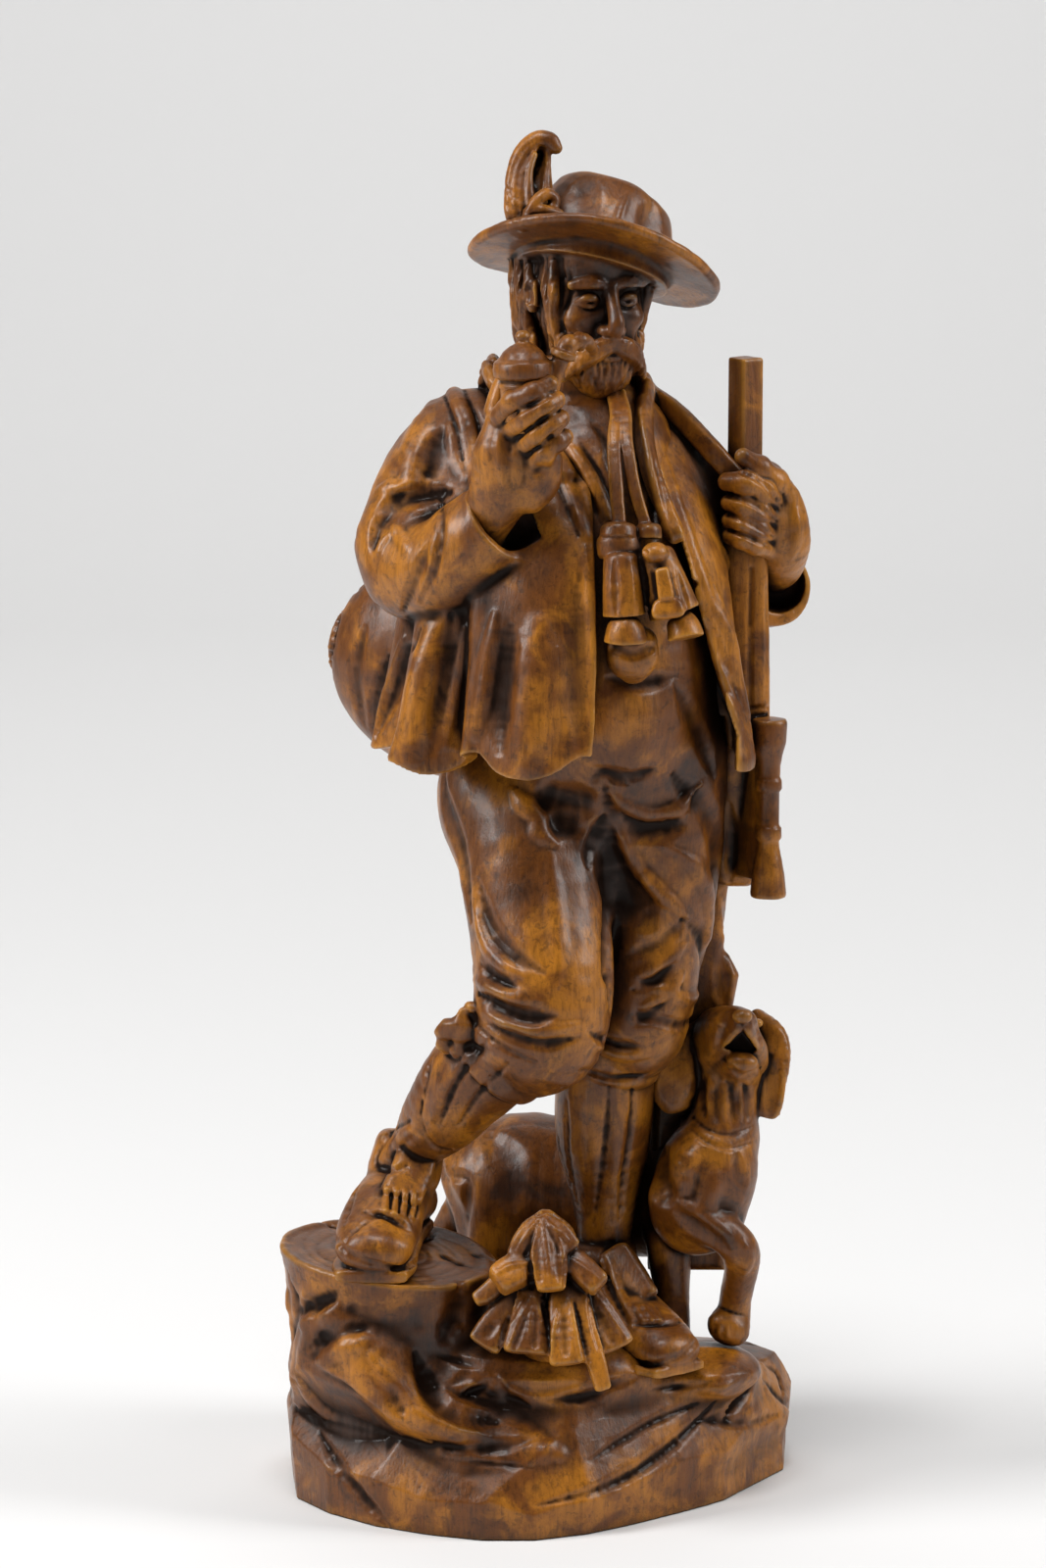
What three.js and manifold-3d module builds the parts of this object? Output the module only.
// A carved wooden figure group: a bearded huntsman with pipe, binoculars, rucksack and scoped
// rifle, one boot on a tree stump, his hound behind his legs and a young fir at his feet. The
// whole group and its faceted rock are one block of wood, so it is one solid.
// Millimetres, +Z up, the viewer looks along +Y at the front. Forms are strung from stations
// [x, y, z, half width, half depth]; every place is measured from the middle of the foot rock.
import * as THREE from "three";
import { mergeVertices } from "three/addons/utils/BufferGeometryUtils.js";
import Module from "manifold-3d";

const wasm = await Module();
wasm.setup();

// Driving sizes
const ROCK_TOP = 38; // the ground that the standing boot is on
const STUMP_TOP = 63;
const HEM = 190; // lower edge of the jacket
const BELLY = 38; // reach of the belly in front of the middle
const HEAD_AT = [13, -6, 300];
const HEAD_YAW = 24; // the face turns to the figure's left
const HEAD_PITCH = 8; // and looks a little down
const HAT_AT = [15, -4, 308.5];
const HAT_TURNS = [-19, 8, -4]; // the brim is pushed up in front and hangs to the figure's left
const BRIM_RADIUS = 31;
const GUN_AT = [52, -5];
const GUN_YAW = 34;
const TURNED_SIDES = 8;

const FRONT = new THREE.Vector3(0, -1, 0);
const UP = new THREE.Vector3(0, 0, 1);
const radians = THREE.MathUtils.degToRad;
const vector = ([x, y, z]) => new THREE.Vector3(x, y, z);

// A turn and a place as one matrix. Turns are degrees about X, Y and Z, taken in that order.
function placing(at, [pitch, roll, yaw] = [0, 0, 0]) {
  const turn = new THREE.Euler(radians(pitch), radians(roll), radians(yaw), "ZYX");
  return new THREE.Matrix4().makeRotationFromEuler(turn).setPosition(...at);
}

// A closed three.js geometry as a solid that can be joined and cut.
function solid(geometry, matrix) {
  const bare = geometry.index ? geometry.toNonIndexed() : geometry.clone();
  bare.deleteAttribute("normal");
  bare.deleteAttribute("uv");
  if (matrix) bare.applyMatrix4(matrix);
  const merged = mergeVertices(bare, 1e-4);
  return new wasm.Manifold(
    new wasm.Mesh({
      numProp: 3,
      vertProperties: merged.attributes.position.array,
      triVerts: new Uint32Array(merged.index.array),
    }),
  );
}

const joined = (...solids) => solids.flat().reduce((whole, next) => whole.add(next));

// Closed skin over rings of points, from a first pole to a last one.
function skinned(rings, first, last) {
  const sides = rings[0].length;
  const points = [first, ...rings.flat(), last];
  const faces = [];
  const at = (ring, side) => 1 + ring * sides + (side % sides);
  for (let side = 0; side < sides; side++) {
    faces.push(0, at(0, side + 1), at(0, side));
    for (let ring = 0; ring + 1 < rings.length; ring++) {
      faces.push(at(ring, side), at(ring, side + 1), at(ring + 1, side + 1));
      faces.push(at(ring, side), at(ring + 1, side + 1), at(ring + 1, side));
    }
    faces.push(points.length - 1, at(rings.length - 1, side), at(rings.length - 1, side + 1));
  }
  return new THREE.BufferGeometry().setFromPoints(points).setIndex(faces);
}

// A limb, root or fold: oval rings strung along a smooth curve through its stations. Half depth
// is measured towards `face`. `caps` says how far each end is rounded, in radii.
function limb(stations, { sides = 6, face = FRONT, caps = [0.8, 0.8], matrix } = {}) {
  const path = new THREE.CatmullRomCurve3(stations.map(vector), false, "centripetal");
  const last = stations.length - 1;
  const ring = (index, shift, scale) => {
    const [halfWidth, halfDepth] = stations[index].slice(3);
    const along = path.getTangent(index / last);
    const depth = face.clone().addScaledVector(along, -face.dot(along)).normalize();
    const across = new THREE.Vector3().crossVectors(depth, along);
    const centre = vector(stations[index]).addScaledVector(along, (shift * (halfWidth + halfDepth)) / 2);
    return Array.from({ length: sides }, (_, side) => {
      const angle = (2 * Math.PI * (side + 0.5)) / sides;
      return centre
        .clone()
        .addScaledVector(across, halfWidth * scale * Math.cos(angle))
        .addScaledVector(depth, halfDepth * scale * Math.sin(angle));
    });
  };
  const rings = stations.map((_, index) => ring(index, 0, 1));
  const [first] = ring(0, -caps[0], 0);
  const [end] = ring(last, caps[1], 0);
  if (caps[0]) rings.unshift(ring(0, -0.7 * caps[0], 0.7));
  if (caps[1]) rings.push(ring(last, 0.7 * caps[1], 0.7));
  return solid(skinned(rings, first, end), matrix);
}

function ball(at, [rx, ry, rz], { turns, matrix, detail = 8 } = {}) {
  const place = placing(at, turns).scale(new THREE.Vector3(rx, ry, rz));
  if (matrix) place.premultiply(matrix);
  return solid(new THREE.SphereGeometry(1, detail, Math.round(detail * 0.7)), place);
}

const block = (at, size, turns) => solid(new THREE.BoxGeometry(...size), placing(at, turns));

// A turned form about the line from `at` along `axis`: pairs of [radius, height].
function turned(profile, at, axis) {
  const points = profile.map(([r, h]) => new THREE.Vector2(r, h));
  const upright = new THREE.Vector3(0, 1, 0);
  const turn = new THREE.Quaternion().setFromUnitVectors(upright, vector(axis).normalize());
  const place = new THREE.Matrix4().makeRotationFromQuaternion(turn).setPosition(...at);
  return solid(new THREE.LatheGeometry(points, TURNED_SIDES), place);
}

// A flat outline of [across, up] pairs, pushed `thick` deep about its own plane.
function plate(outline, thick, place) {
  const shape = new THREE.Shape(outline.map(([x, y]) => new THREE.Vector2(x, y)));
  const pushed = new THREE.ExtrudeGeometry(shape, { depth: thick, bevelEnabled: false });
  pushed.translate(0, 0, -thick / 2);
  return solid(pushed, place);
}

// Upright outline seen from the front: across is X, up is Z, and the push goes along Y.
const facingFront = (y) => new THREE.Matrix4().makeRotationX(Math.PI / 2).setPosition(0, y, 0);

// Rings about an upright line, from the lowest level up. Each level is
// [z, centre x, centre y, half width, half depth, share of the folds].
function robe(levels, folds, sides) {
  const rings = levels.map(([z, cx, cy, a, b, share]) =>
    Array.from({ length: sides }, (_, side) => {
      const angle = (360 * side) / sides;
      let swell = 0;
      let drop = 0;
      for (const fold of folds) {
        const off = ((angle - fold.angle + 540) % 360) - 180;
        const bump = Math.exp(-((off / fold.width) ** 2));
        swell += fold.height * bump * share;
        drop += (fold.drop ?? 0) * bump * share ** 3;
      }
      const turn = radians(angle);
      return vector([
        cx + (a + swell) * Math.cos(turn),
        cy + (b + swell) * Math.sin(turn),
        z - drop,
      ]);
    }),
  );
  const middle = ([z, cx, cy]) => vector([cx, cy, z]);
  return solid(skinned(rings, middle(levels[0]), middle(levels.at(-1))));
}

// Rock: corners are [degrees, foot radius, shoulder height, rim height, rim radius].
function rock() {
  const corners = [
    [8, 66, 13, 28, 61],
    [21, 71, 20, 31, 62],
    [46, 67, 14, 33, 56],
    [75, 56, 18, 30, 49],
    [104, 54, 13, 31, 47],
    [131, 60, 18, 30, 52],
    [157, 66, 14, 35, 57],
    [176, 62.5, 22, 38, 57],
    [194, 62.4, 17, 35, 57],
    [208, 59, 23, 31, 52],
    [224, 55.4, 12, 22, 50],
    [240, 52.5, 17, 20, 48],
    [256, 51.5, 11, 18, 48],
    [270, 50, 15, 19, 46],
    [287, 47, 10, 23, 42],
    [301, 45.2, 19, 25, 41],
    [324, 47, 13, 31, 41],
    [341, 52, 22, 31, 48],
  ];
  const ring = (pick) =>
    corners.map((corner) => {
      const [radius, z] = pick(corner);
      const turn = radians(corner[0]);
      return vector([radius * Math.cos(turn), radius * Math.sin(turn), z]);
    });
  const rings = [
    ring(([, foot]) => [foot - 1.5, 0]),
    ring(([, foot, shoulder]) => [foot, shoulder]),
    ring(([, , , rim, radius]) => [radius, rim]),
    ring(([, , , rim, radius]) => [radius * 0.62, Math.max(rim, ROCK_TOP - 5)]),
  ];
  return solid(skinned(rings, vector([0, 0, 0]), vector([0, 0, ROCK_TOP])));
}

function stump() {
  const trunk = limb(
    [
      [-36, -13, 8, 25, 25],
      [-36, -13, 34, 24, 22],
      [-35.5, -12, 50, 25, 22.5],
      [-35, -12, 72, 29, 25],
    ],
    { sides: 12, caps: [0, 0] },
  ).subtract(block([-35, -12, STUMP_TOP + 40], [90, 90, 80], [5, 6, 0]));
  const roots = [
    [[-46, -24, 48, 9, 8], [-40, -33, 35, 11, 8], [-24, -40, 26, 11, 8], [-4, -44, 17, 9, 6]],
    [[-50, -22, 44, 8, 8], [-57, -23, 30, 8, 8], [-56, -23, 12, 7, 8]],
    [[-52, 0, 44, 8, 8], [-56, 4, 24, 8, 9], [-57, 5, 10, 7, 8]],
    [[-20, -8, 50, 7, 7], [-9, -14, 38, 8, 8], [2, -16, 30, 7, 6]],
  ];
  return joined(trunk, roots.map((root) => limb(root)));
}

// Young fir: a stem under three tiers, each a small robe whose folds are the drooping boughs.
function fir() {
  const boughs = (count, start, width, height, drop) =>
    Array.from({ length: count }, (_, index) => ({
      angle: (start + (360 * index) / count) % 360,
      width,
      height,
      drop,
    }));
  const [x, y] = [4, -34];
  const low = robe(
    [[46, x, y, 14, 14, 1], [50, x, y, 13, 13, 0.8], [63, x, y, 5, 5, 0.1]],
    boughs(7, 0, 13, 6, 5),
    21,
  );
  const middle = robe(
    [[61, x, y, 9, 9, 1], [64, x, y, 8, 8, 0.8], [70, x, y, 3, 3, 0.2]],
    boughs(6, 0, 16, 5, 1),
    18,
  );
  const top = robe(
    [[66, x - 1, y, 5, 5, 1], [69, x - 1, y, 4.5, 4.5, 0.8], [79, x - 1.5, y - 1, 0.6, 0.6, 0]],
    boughs(5, 24, 18, 4, 2),
    15,
  );
  const leader = limb([[x - 1, y, 60, 4, 4], [x - 1.5, y - 1, 72, 2.6, 2.6]], { caps: [0, 0.5] });
  const foot = limb([[x, y, 28, 9, 9], [x, y, 50, 6, 6]], { caps: [0, 0] });
  return joined(foot, low, middle, top, leader);
}

function raisedLeg() {
  const thigh = limb([
    [1, 0, 192, 19, 20],
    [-0.5, -12, 170, 19, 19],
    [1.5, -22, 150, 17.5, 17],
    [2.5, -30, 134, 17, 16],
    [1, -32, 122, 16, 13],
    [-3, -28, 116, 11, 9],
  ], { sides: 10 });
  const band = limb([
    [-2, -27, 121, 12.5, 13.5],
    [-7, -24, 115, 12, 13],
  ], { sides: 10, caps: [0, 0] });
  const stocking = limb([
    [-6, -24, 118, 13, 12],
    [-15, -19, 109, 12.5, 11],
    [-22, -13, 99, 10, 10.5],
    [-27.5, -8, 91, 7, 8],
    [-31, -4, 84, 6.6, 7],
    [-33, -2, 76, 7, 8],
  ], { sides: 8 });
  const boot = limb([
    [-31, 7, 71, 7, 6.5],
    [-33, 0, 74, 8.2, 9],
    [-36, -12, 74, 9.6, 9.5],
    [-38, -23, 71.5, 10.4, 7.6],
    [-39, -32, 69.5, 9.4, 5.4],
  ], { sides: 8, face: UP });
  const tongue = limb([[-28.5, -11, 90, 5, 3], [-29.5, -15, 84, 4.6, 3], [-33, -22, 78, 5, 2]]);
  const bow = joined(
    limb([[-11, -31, 121, 2, 3], [-17, -30, 117, 3.4, 3], [-20, -27, 111, 2.4, 2.6]]),
    limb([[-12, -32, 120, 2, 3], [-14, -32, 114, 3, 3], [-15, -30, 108, 2.2, 2.6]]),
  );
  return joined(thigh, band, stocking, boot, tongue, bow);
}

function standingLeg() {
  const thigh = limb([
    [31, -4, 190, 17, 20],
    [31.5, -7, 170, 15.8, 18],
    [30.5, -7, 150, 14, 16],
    [28, -8, 132, 13, 14],
    [25, -8, 120, 13, 12.5],
    [22, -7, 115, 10, 10],
  ], { sides: 10 });
  const stocking = limb([
    [20, -5, 118, 11, 11],
    [18, -2, 103, 12.3, 12.5],
    [17.6, 0, 90, 11.8, 12.3],
    [18, 2, 77, 9, 10],
    [17.8, 4, 64, 6.8, 8],
    [17, 5, 54, 7, 8],
  ], { sides: 8 });
  const boot = limb([
    [12, 11, 42, 6.8, 6.5],
    [16, 3, 46, 8.2, 9.5],
    [22, -8, 46, 9, 9.5],
    [29, -18, 43.5, 9.4, 7.4],
    [34, -25, 41.5, 8, 5.2],
  ], { sides: 8, face: UP });
  const tongue = limb([[20, -5, 61, 4, 3], [23, -9, 56, 4.6, 2.6], [27, -15, 50, 4.6, 2]]);
  return joined(thigh, stocking, boot, tongue);
}

// Trunk of the body in its waistcoat and breeches, bare of the jacket.
function trunk() {
  return limb([
    [17, -4, 160, 20, 17],
    [17.5, -5, 174, 26, 22],
    [18, -6, 188, 27, 26],
    [19, -6, 201, 26.5, BELLY - 7],
    [18.5, -7, 214, 26, BELLY - 8],
    [17, -7, 230, 24, BELLY - 10],
    [14, -6, 248, 23, 24],
    [11, -4, 262, 23, 18],
    [10, -3, 272, 15, 13],
    [11, -3, 282, 10.5, 11],
  ], { sides: 14 });
}

function jacket() {
  const folds = [
    { angle: 208, width: 9, height: 5, drop: 2 },
    { angle: 226, width: 8, height: -6, drop: -3 },
    { angle: 241, width: 9, height: 6, drop: 3 },
    { angle: 262, width: 9, height: -2, drop: -1 },
    { angle: 190, width: 9, height: -3, drop: -1 },
    { angle: 330, width: 12, height: 4, drop: 3 },
    { angle: 0, width: 12, height: -4, drop: 0 },
    { angle: 28, width: 13, height: 4, drop: 2 },
    { angle: 58, width: 12, height: -3, drop: 0 },
    { angle: 88, width: 14, height: 4, drop: 2 },
    { angle: 120, width: 12, height: -3, drop: 0 },
    { angle: 150, width: 13, height: 4, drop: 2 },
  ];
  const cloth = robe(
    [
      [HEM, 9, -6, 46, 41, 1],
      [206, 9, -6, 43, 40, 0.75],
      [222, 9, -6, 41, 38.5, 0.45],
      [238, 8.5, -6, 39, 35, 0.2],
      [252, 7, -5, 36, 28, 0.05],
      [262, 6.5, -3, 32, 20, 0],
      [269, 7, -2, 25, 15, 0],
      [276, 9, -1, 15, 12, 0],
    ],
    folds,
    36,
  );
  const opening = plate(
    [
      [7, 300],
      [12, 268],
      [14, 244],
      [14.5, 212],
      [13, 165],
      [48, 165],
      [49, 196],
      [43, 214],
      [37, 238],
      [30, 260],
      [24, 300],
    ],
    60,
    facingFront(-43),
  );
  return cloth.subtract(opening);
}

function collar() {
  const right = limb([
    [-2, 8, 281, 3, 4],
    [-9, 2, 281, 3, 5],
    [-8, -9, 278, 3, 5],
    [0, -18, 270, 3, 4],
    [8, -26, 259, 3, 3],
  ]);
  const left = limb([
    [24, 6, 280, 3, 4],
    [27, -3, 277, 3, 5],
    [26.5, -14, 271, 3, 4.5],
    [28, -24, 260, 3, 4],
    [34, -32, 245, 2.5, 3],
  ]);
  return joined(right, left);
}

function binoculars() {
  const barrel = [
    [0, 0],
    [6, 0],
    [6.2, 3],
    [4.4, 5],
    [5, 11],
    [3.4, 26],
    [4, 29],
    [4, 33],
    [0, 33],
  ];
  const straps = [
    [[18, -24, 270, 1.8, 2], [18, -33, 256, 1.8, 2], [20, -39, 245, 1.8, 2]],
    [[24, -22, 270, 1.8, 2], [25, -32, 256, 1.8, 2], [27, -38, 245, 1.8, 2]],
  ];
  return joined(
    turned(barrel, [22.5, -41, 214.5], [-0.1, -0.06, 1]),
    turned(barrel, [35, -40, 217], [-0.2, -0.06, 1]),
    limb([[31, -44, 224, 2.6, 2.6], [28.5, -45, 238, 2.6, 2.6]]),
    ball([25, -37, 213], [9, 5, 5]),
    straps.map((strap) => limb(strap)),
  );
}

function head() {
  const place = placing(HEAD_AT, [HEAD_PITCH, 0, HEAD_YAW]);
  const across = { matrix: place, face: UP };
  const hair = (side) => {
    const locks = [
      [side * 14, -2, 10, 3, 5],
      [side * 16, -1, 0, 3.4, 6],
      [side * 14.5, -1, -10, 3, 5],
    ];
    return limb(locks, { matrix: place, face: new THREE.Vector3(1, 0, 0) });
  };
  const brow = [
    [-10, -13.5, 8, 1.6, 2],
    [-5, -16.2, 9, 2, 2],
    [5, -16.2, 9, 2, 2],
    [10, -13.5, 8, 1.6, 2],
  ];
  const moustache = [
    [-11, -13, -10, 1.4, 2],
    [-6, -17, -7, 2.2, 2.6],
    [0, -18, -5, 2.4, 2.6],
    [6, -17, -7, 2.2, 2.6],
    [11, -13, -10, 1.4, 2],
  ];
  return joined(
    ball([0, -1, 0], [14, 16.5, 18], { matrix: place, detail: 12 }),
    ball([0, 5, 0], [15.5, 14, 16], { matrix: place }),
    limb([[0, -10, -9, 11, 7], [0, -13, -15, 9.5, 6], [0, -13.5, -20, 5, 4]], { matrix: place }),
    limb([[0, -14.5, 6, 1.8, 2], [0, -18, -1.5, 2.6, 2.6]], { matrix: place }),
    limb([[0, 4, -14, 10, 10], [-1, 3, -27, 10, 10]], { matrix: place }),
    limb(brow, across),
    limb(moustache, across),
    hair(1),
    hair(-1),
  );
}

// A wavy disc for the hat brim: closed and thin, its sides let down and its front put up.
function brim(place) {
  const [spokes, thick] = [18, 2.6];
  const at = (radius, spoke, lift) => {
    const turn = (2 * Math.PI * spoke) / spokes;
    const reach = radius / BRIM_RADIUS;
    const droop = -2.5 * Math.cos(2 * turn) * reach ** 2;
    const tuck = -2.5 * Math.exp(-(((turn - 0.8) / 0.7) ** 2)) * reach ** 2;
    return vector([radius * Math.cos(turn), 0.96 * radius * Math.sin(turn), droop + tuck + lift]);
  };
  const ring = (radius, lift) => Array.from({ length: spokes }, (_, spoke) => at(radius, spoke, lift));
  const rings = [
    ring(21, -thick / 2),
    ring(BRIM_RADIUS - 1, -thick / 2),
    ring(BRIM_RADIUS, 0),
    ring(BRIM_RADIUS - 1, thick / 2),
    ring(21, thick / 2),
  ];
  return solid(skinned(rings, vector([0, 0, -thick / 2]), vector([0, 0, thick / 2])), place);
}

function hat() {
  const place = placing(HAT_AT, HAT_TURNS);
  const crown = limb(
    [
      [0, 0, -4, 18, 19],
      [0.5, 0, 6, 16.5, 17.5],
      [0.5, 0, 12, 14.3, 15.5],
      [0.5, 0, 17.5, 10.5, 11.5],
    ],
    { sides: 10, caps: [0, 0.25], matrix: place },
  );
  const pinch = limb([
    [-6, 12, 22, 3, 4],
    [-2, 0, 20.5, 4, 4],
    [1, -14, 17, 3, 4],
  ], { matrix: place, face: UP });
  const feather = limb([
    [1, -18, 315, 6, 3],
    [-0.5, -17, 320, 6.5, 3],
    [-1.2, -14, 327, 5, 3],
    [-1.4, -13, 332, 4, 3],
    [0.8, -12, 336, 3, 2.8],
    [4, -12, 335.8, 2.4, 2.4],
    [5.6, -13, 333.4, 1.8, 2],
  ]);
  return joined(crown, brim(place), feather).subtract(pinch);
}

function pipe() {
  const bowl = [
    [0, 0],
    [4.5, 0],
    [5.6, 4],
    [5.6, 13],
    [7, 14],
    [7, 17.5],
    [5, 19],
    [2.6, 22],
    [1.4, 24],
    [0, 24],
  ];
  return joined(
    turned(bowl, [-2.2, -46, 271], [-0.02, 0, 1]),
    limb([[3, -46, 276, 2.4, 2.4], [5.4, -46, 285, 2.6, 2.6], [8.2, -46, 292, 2.8, 2.8]]),
    ball([8.6, -45, 293], [3.6, 3.6, 3.6]),
    limb([
      [9, -44, 294, 2, 2],
      [12, -41, 297, 2, 2],
      [15.5, -36, 297.5, 1.8, 1.8],
      [17, -28, 296, 1.8, 1.8],
    ]),
  );
}

function pipeArm() {
  const upper = limb([
    [-15, -1, 262, 15, 15],
    [-23, -5, 254, 14.5, 14],
    [-30, -13, 240, 13.5, 13],
  ], { sides: 8, caps: [0.6, 0.8] });
  const fore = limb([
    [-29, -17, 235, 12.5, 12.5],
    [-20, -26, 236, 11.6, 12],
    [-13, -31, 241, 11.6, 12],
    [-7, -36, 247, 12.4, 12],
  ], { sides: 8, caps: [0.8, 0] });
  const palm = limb([
    [-12, -33, 246, 6, 6],
    [-8, -39, 255, 6.8, 6],
    [-4, -42, 264, 9.5, 6.2],
    [-1.5, -43, 271, 9, 5.6],
  ], { caps: [0, 0.6] });
  const finger = (x, z, length) => {
    const bend = [x + length / 2, -49, z + length * 0.25, 2.9, 2.7];
    const tip = [x + length, -46, z + length * 0.4, 2.6, 2.5];
    return limb([[x, -47, z, 2.6, 2.4], bend, tip], { face: UP, caps: [0, 0.8] });
  };
  const fingers = [finger(-5, 273, 10), finger(-1, 268.4, 8), finger(0.2, 263.8, 8), finger(1, 259.4, 6.5)];
  return joined(upper, fore, palm, fingers);
}

function gunArm() {
  const upper = limb([
    [28, 1, 258, 12, 13],
    [37, 4, 252, 12, 12],
    [46, 9, 241, 12, 12],
    [53, 12, 230, 11.5, 11.5],
  ], { sides: 8 });
  const fore = limb([[56, 10, 227, 10.5, 10.5], [60, 1, 227.5, 8.6, 8.6]], { caps: [0.8, 0] });
  const palm = limb([
    [60, 1, 229, 6, 6],
    [60, -4, 238, 7.5, 6],
    [57, -6, 247, 8, 6.5],
    [55, -7, 253, 6.5, 6],
  ]);
  const finger = (z, drop) => {
    const bend = [53, -14, z - drop / 2, 2.6, 2.6];
    return limb([
      [58, -11.5, z - drop, 2.4, 2.6],
      bend,
      [47.5, -11, z, 2.4, 2.6],
    ], { face: UP, caps: [0, 0.8] });
  };
  return joined(upper, fore, palm, finger(254, 4), finger(249, 4.5), finger(243.5, 4), finger(238, 3));
}

function rifle() {
  const [x, y] = GUN_AT;
  const barrel = block([x - 0.5, y, 258], [6.4, 6.4, 54], [0, 0, GUN_YAW]);
  const foreEnd = limb([
    [x - 0.5, y + 1, 240, 5.6, 6],
    [x, y + 1, 196, 6, 6],
    [x - 2, y + 6, 160, 6, 6.5],
  ]);
  const scope = turned(
    [
      [0, 0],
      [4.6, 0],
      [4.6, 6],
      [3, 13],
      [3.6, 15],
      [3.6, 18],
      [2.9, 19],
      [2.9, 28],
      [3.6, 29],
      [3.6, 32],
      [2.9, 34],
      [4.2, 41],
      [4.2, 46],
      [0, 46],
    ],
    [57.5, -13, 152],
    [0, 0, 1],
  );
  const web = block([54, -8, 175], [4, 10, 36], [0, 0, GUN_YAW]);
  const butt = plate(
    [
      [-7, 0],
      [-9, -30],
      [-14, -60],
      [-15, -112],
      [5, -112],
      [5, -50],
      [7.5, -36],
      [3.5, -28],
      [4.5, -14],
      [7, 0],
    ],
    9,
    placing([44, 10, 165], [90, 0, 0]),
  );
  return joined(barrel, foreEnd, scope, web, butt);
}

function sling() {
  return limb([
    [22, 2, 279, 2, 3],
    [33, -3, 272.5, 2, 3],
    [43, -8, 263, 2, 3],
    [50, -9, 255, 2, 3],
  ], { face: UP });
}

function rucksack() {
  return joined(
    ball([-14, 22, 206], [39, 19, 31], { turns: [0, 0, -16], detail: 10 }),
    ball([-8, 25, 226], [27, 16, 13], { turns: [0, 0, -18], detail: 10 }),
  );
}

function hound() {
  const body = limb([
    [-13, 33, 66, 11, 15],
    [-3, 34, 69, 17, 18],
    [12, 30, 69, 15, 17],
    [28, 22, 71, 14, 18],
    [39, 10, 73, 12, 16],
    [44, 2, 77, 9, 12],
  ], { sides: 10, face: UP, caps: [0.7, 0.8] });
  const neck = limb([
    [42, 5, 76, 10, 11],
    [46, 2, 90, 8.5, 9.5],
    [48, 0, 104, 8.5, 9],
  ], { sides: 8 });
  const skull = ball([49, 3, 111], [10, 11, 9.5], { turns: [25, 0, 0] });
  const muzzle = limb([
    [50, 0, 114, 6.5, 6],
    [50.5, -9, 118, 5, 4],
    [50.5, -14, 120, 3.4, 2.6],
  ], { face: UP });
  const jaw = limb([
    [50, -2, 107, 6, 4],
    [49, -9, 109, 4.6, 2.6],
    [48.5, -13, 110, 3.6, 2],
  ], { face: UP });
  const ears = [
    limb([[39, 5, 114, 3, 5], [36, 3, 107, 4, 6], [37, 1, 99, 3, 5]]),
    limb([[57, 4, 116, 3, 5], [61.5, 2, 108, 3.2, 6.5], [60.5, 1, 98, 3, 5.5]]),
  ];
  const collarBand = limb([
    [46, 2, 89, 9.6, 11],
    [47, 1.5, 93, 9.4, 10.5],
  ], { sides: 8, caps: [0, 0] });
  const foreleg = limb([
    [38, 2, 68, 7, 8],
    [46, -5, 64, 5.5, 6],
    [51, -9, 59, 4.6, 5],
    [49.5, -10, 51, 3.8, 4],
    [47.5, -11, 44, 3.8, 3.8],
    [46.5, -14, 40, 5, 4],
  ]);
  const secondLeg = limb([[34, 4, 62, 6, 6], [35, 2, 48, 4.5, 4.5], [35, -3, 39, 4.5, 4]]);
  const haunches = [ball([-6, 27, 57], [13, 9, 18]), ball([-2, 40, 57], [13, 8, 18])];
  const hindPaws = [
    limb([[-8, 27, 44, 6, 6], [2, 22, 38, 6, 4]]),
    limb([[-4, 41, 44, 6, 6], [6, 41, 37, 6, 4]]),
  ];
  const tail = limb([[-20, 37, 60, 4, 4], [-26, 42, 46, 3.4, 3.4], [-18, 49, 37, 3, 3]]);
  const legs = [foreleg, secondLeg, ...haunches, ...hindPaws];
  return joined(body, neck, skull, muzzle, jaw, ears, collarBand, legs, tail);
}

const figure = joined(
  rock(), stump(), fir(), raisedLeg(), standingLeg(), trunk(), jacket(), collar(), binoculars(),
  head(), hat(), pipe(), pipeArm(), gunArm(), rifle(), sling(), rucksack(), hound(),
);

function meshOf(name, form, material) {
  const { vertProperties, triVerts } = form.getMesh();
  const geometry = new THREE.BufferGeometry();
  geometry.setAttribute("position", new THREE.BufferAttribute(new Float32Array(vertProperties), 3));
  geometry.setIndex(new THREE.BufferAttribute(new Uint32Array(triVerts), 1));
  const mesh = new THREE.Mesh(geometry, material);
  mesh.name = name;
  return mesh;
}

const stainedWood = new THREE.MeshStandardMaterial({ color: 0x6e3f1c, roughness: 0.42, metalness: 0 });
const group = new THREE.Group();
group.add(meshOf("huntsman_group", figure, stainedWood));

export default group;
